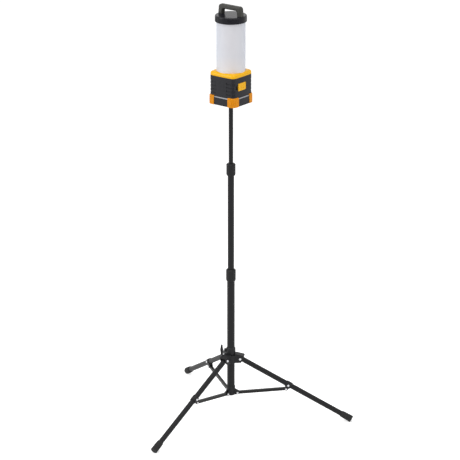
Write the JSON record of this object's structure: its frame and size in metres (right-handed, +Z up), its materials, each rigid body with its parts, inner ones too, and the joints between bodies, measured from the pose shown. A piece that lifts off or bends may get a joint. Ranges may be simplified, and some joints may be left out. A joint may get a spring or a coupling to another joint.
{
  "type": "tripod area work light",
  "caption": "Cordless area work light: a square-based lantern with a round frosted diffuser and loop handle, on a telescopic mast with a folding tripod.",
  "frame": {"origin": "on the floor under the mast axis, at the centre of the foot circle", "axes": "+Z up along the mast, lamp front facing -Y, port door facing +X"},
  "size_m": [0.7892, 0.6868, 1.55],
  "materials": {
    "tube_black": "semi-gloss black powder coat",
    "brace_black": "semi-gloss black paint",
    "fitting_black": "satin black moulded nylon",
    "nylon_grey": "natural grey nylon",
    "rivet_steel": "zinc-plated steel",
    "foot_rubber": "matte black rubber",
    "body_black": "fine-grained black housing plastic",
    "trim_silver": "satin silver",
    "lamp_yellow": "glossy yellow plastic",
    "button_black": "soft black rubber",
    "tray_grey": "moulded plastic",
    "cell_wrap": "shrink-wrapped cells",
    "board_green": "lacquered circuit board",
    "diffuser_frost": "frosted translucent plastic",
    "seal_rubber": "soft rubber",
    "core_aluminium": "extruded aluminium",
    "led_white": "white solder mask",
    "cap_black": "satin black plastic",
    "handle_grey": "dark grey grained plastic"
  },
  "bodies": {
    "lower_mast": {"lower_tube": "tube_black", "bottom_collar": "fitting_black", "collar_rivets": "rivet_steel", "tube_end_plug": "fitting_black", "lower_lock_ferrule": "fitting_black", "lower_lock_bush": "nylon_grey"},
    "lower_lock": {"lower_lock_collar": "fitting_black"},
    "middle_mast": {"middle_tube": "tube_black", "middle_stop_ring": "nylon_grey", "upper_lock_ferrule": "fitting_black", "upper_lock_bush": "nylon_grey"},
    "upper_lock": {"upper_lock_collar": "fitting_black"},
    "top_mast": {"top_tube": "tube_black", "top_stop_ring": "nylon_grey"},
    "lamp_socket": {"socket_bush": "nylon_grey"},
    "lamp": {"base_skirt": "body_black", "base_trim": "trim_silver", "corner_bumpers": "lamp_yellow", "base_plate": "body_black", "base_screws": "rivet_steel", "front_housing": "body_black", "rear_housing": "body_black", "port_panel": "body_black", "power_switch": "body_black", "battery_tray": "tray_grey", "battery_cells": "cell_wrap", "driver_board": "board_green", "shoulder": "lamp_yellow", "diffuser": "diffuser_frost", "diffuser_seals": "seal_rubber", "led_core": "core_aluminium", "led_strips": "led_white", "cap": "cap_black", "handle": "handle_grey", "handle_screws": "rivet_steel"},
    "port_door": {"port_door": "lamp_yellow"},
    "power_button": {"power_button": "button_black"},
    "hub": {"hub": "fitting_black", "hub_liner": "nylon_grey", "hub_rivets": "rivet_steel"},
    "lock_screw": {"lock_screw": "rivet_steel", "lock_knob": "fitting_black"},
    "leg_front": {"leg_front": "tube_black", "leg_plug_front": "fitting_black", "foot_front": "foot_rubber", "leg_clip_front": "fitting_black", "leg_rivets_front": "rivet_steel"},
    "brace_front": {"brace_front": "brace_black"},
    "leg_right": {"leg_right": "tube_black", "leg_plug_right": "fitting_black", "foot_right": "foot_rubber", "leg_clip_right": "fitting_black", "leg_rivets_right": "rivet_steel"},
    "brace_right": {"brace_right": "brace_black"},
    "leg_left": {"leg_left": "tube_black", "leg_plug_left": "fitting_black", "foot_left": "foot_rubber", "leg_clip_left": "fitting_black", "leg_rivets_left": "rivet_steel"},
    "brace_left": {"brace_left": "brace_black"}
  },
  "joints": [
    {"name": "hub_slide", "type": "slide", "parent": "lower_mast", "child": "hub", "axis": [0, 0, 1], "range_m": [0, 0.2475]},
    {"name": "leg_hinge_front", "type": "hinge", "parent": "hub", "child": "leg_front", "pos_m": [0, -0.036, 0.227], "axis": [1, 0, 0], "range_deg": [0, 59.08]},
    {"name": "brace_hinge_front", "type": "hinge", "parent": "leg_front", "child": "brace_front", "pos_m": [0, -0.20515, 0.11694], "axis": [-1, 0, 0], "range_deg": [0, 140.35]},
    {"name": "leg_hinge_right", "type": "hinge", "parent": "hub", "child": "leg_right", "pos_m": [0.03118, 0.018, 0.227], "axis": [-0.5, 0.866, 0], "range_deg": [0, 59.08]},
    {"name": "brace_hinge_right", "type": "hinge", "parent": "leg_right", "child": "brace_right", "pos_m": [0.17766, 0.10257, 0.11694], "axis": [0.5, -0.866, 0], "range_deg": [0, 140.35]},
    {"name": "leg_hinge_left", "type": "hinge", "parent": "hub", "child": "leg_left", "pos_m": [-0.03118, 0.018, 0.227], "axis": [-0.5, -0.866, 0], "range_deg": [0, 59.08]},
    {"name": "brace_hinge_left", "type": "hinge", "parent": "leg_left", "child": "brace_left", "pos_m": [-0.17766, 0.10257, 0.11694], "axis": [0.5, 0.866, 0], "range_deg": [0, 140.35]},
    {"name": "lock_screw_turn", "type": "hinge", "parent": "hub", "child": "lock_screw", "pos_m": [-0.02944, -0.017, 0.256], "axis": [-0.866, -0.5, 0], "range_deg": [0, 360]},
    {"name": "lower_lock_turn", "type": "hinge", "parent": "lower_mast", "child": "lower_lock", "pos_m": [0, 0, 0.55], "axis": [0, 0, 1], "range_deg": [0, 90]},
    {"name": "middle_slide", "type": "slide", "parent": "lower_mast", "child": "middle_mast", "axis": [0, 0, 1], "range_m": [-0.35, 0]},
    {"name": "upper_lock_turn", "type": "hinge", "parent": "middle_mast", "child": "upper_lock", "pos_m": [0, 0, 0.95], "axis": [0, 0, 1], "range_deg": [0, 90]},
    {"name": "top_slide", "type": "slide", "parent": "middle_mast", "child": "top_mast", "axis": [0, 0, 1], "range_m": [-0.215, 0.12]},
    {"name": "lamp_lift", "type": "slide", "parent": "top_mast", "child": "lamp_socket", "axis": [0, 0, 1], "range_m": [0, 0.06]},
    {"name": "lamp_swivel", "type": "hinge", "parent": "lamp_socket", "child": "lamp", "pos_m": [0, 0, 1.215], "axis": [0, 0, 1], "continuous": true},
    {"name": "port_door_hinge", "type": "hinge", "parent": "lamp", "child": "port_door", "pos_m": [0.055, 0.012, 1.267], "axis": [0, 0, 1], "range_deg": [0, 105]},
    {"name": "power_button_press", "type": "slide", "parent": "lamp", "child": "power_button", "axis": [0, -1, 0], "range_m": [0, 0.002], "stiffness_N_per_m": 500, "springref_m": -0.001}
  ],
  "couplings": [
    {"joint": "leg_hinge_front", "follows": "hub_slide", "rad_per_m": 4.1648},
    {"joint": "brace_hinge_front", "follows": "hub_slide", "rad_per_m": 9.8953},
    {"joint": "leg_hinge_right", "follows": "hub_slide", "rad_per_m": 4.1648},
    {"joint": "brace_hinge_right", "follows": "hub_slide", "rad_per_m": 9.8953},
    {"joint": "leg_hinge_left", "follows": "hub_slide", "rad_per_m": 4.1648},
    {"joint": "brace_hinge_left", "follows": "hub_slide", "rad_per_m": 9.8953}
  ]
}
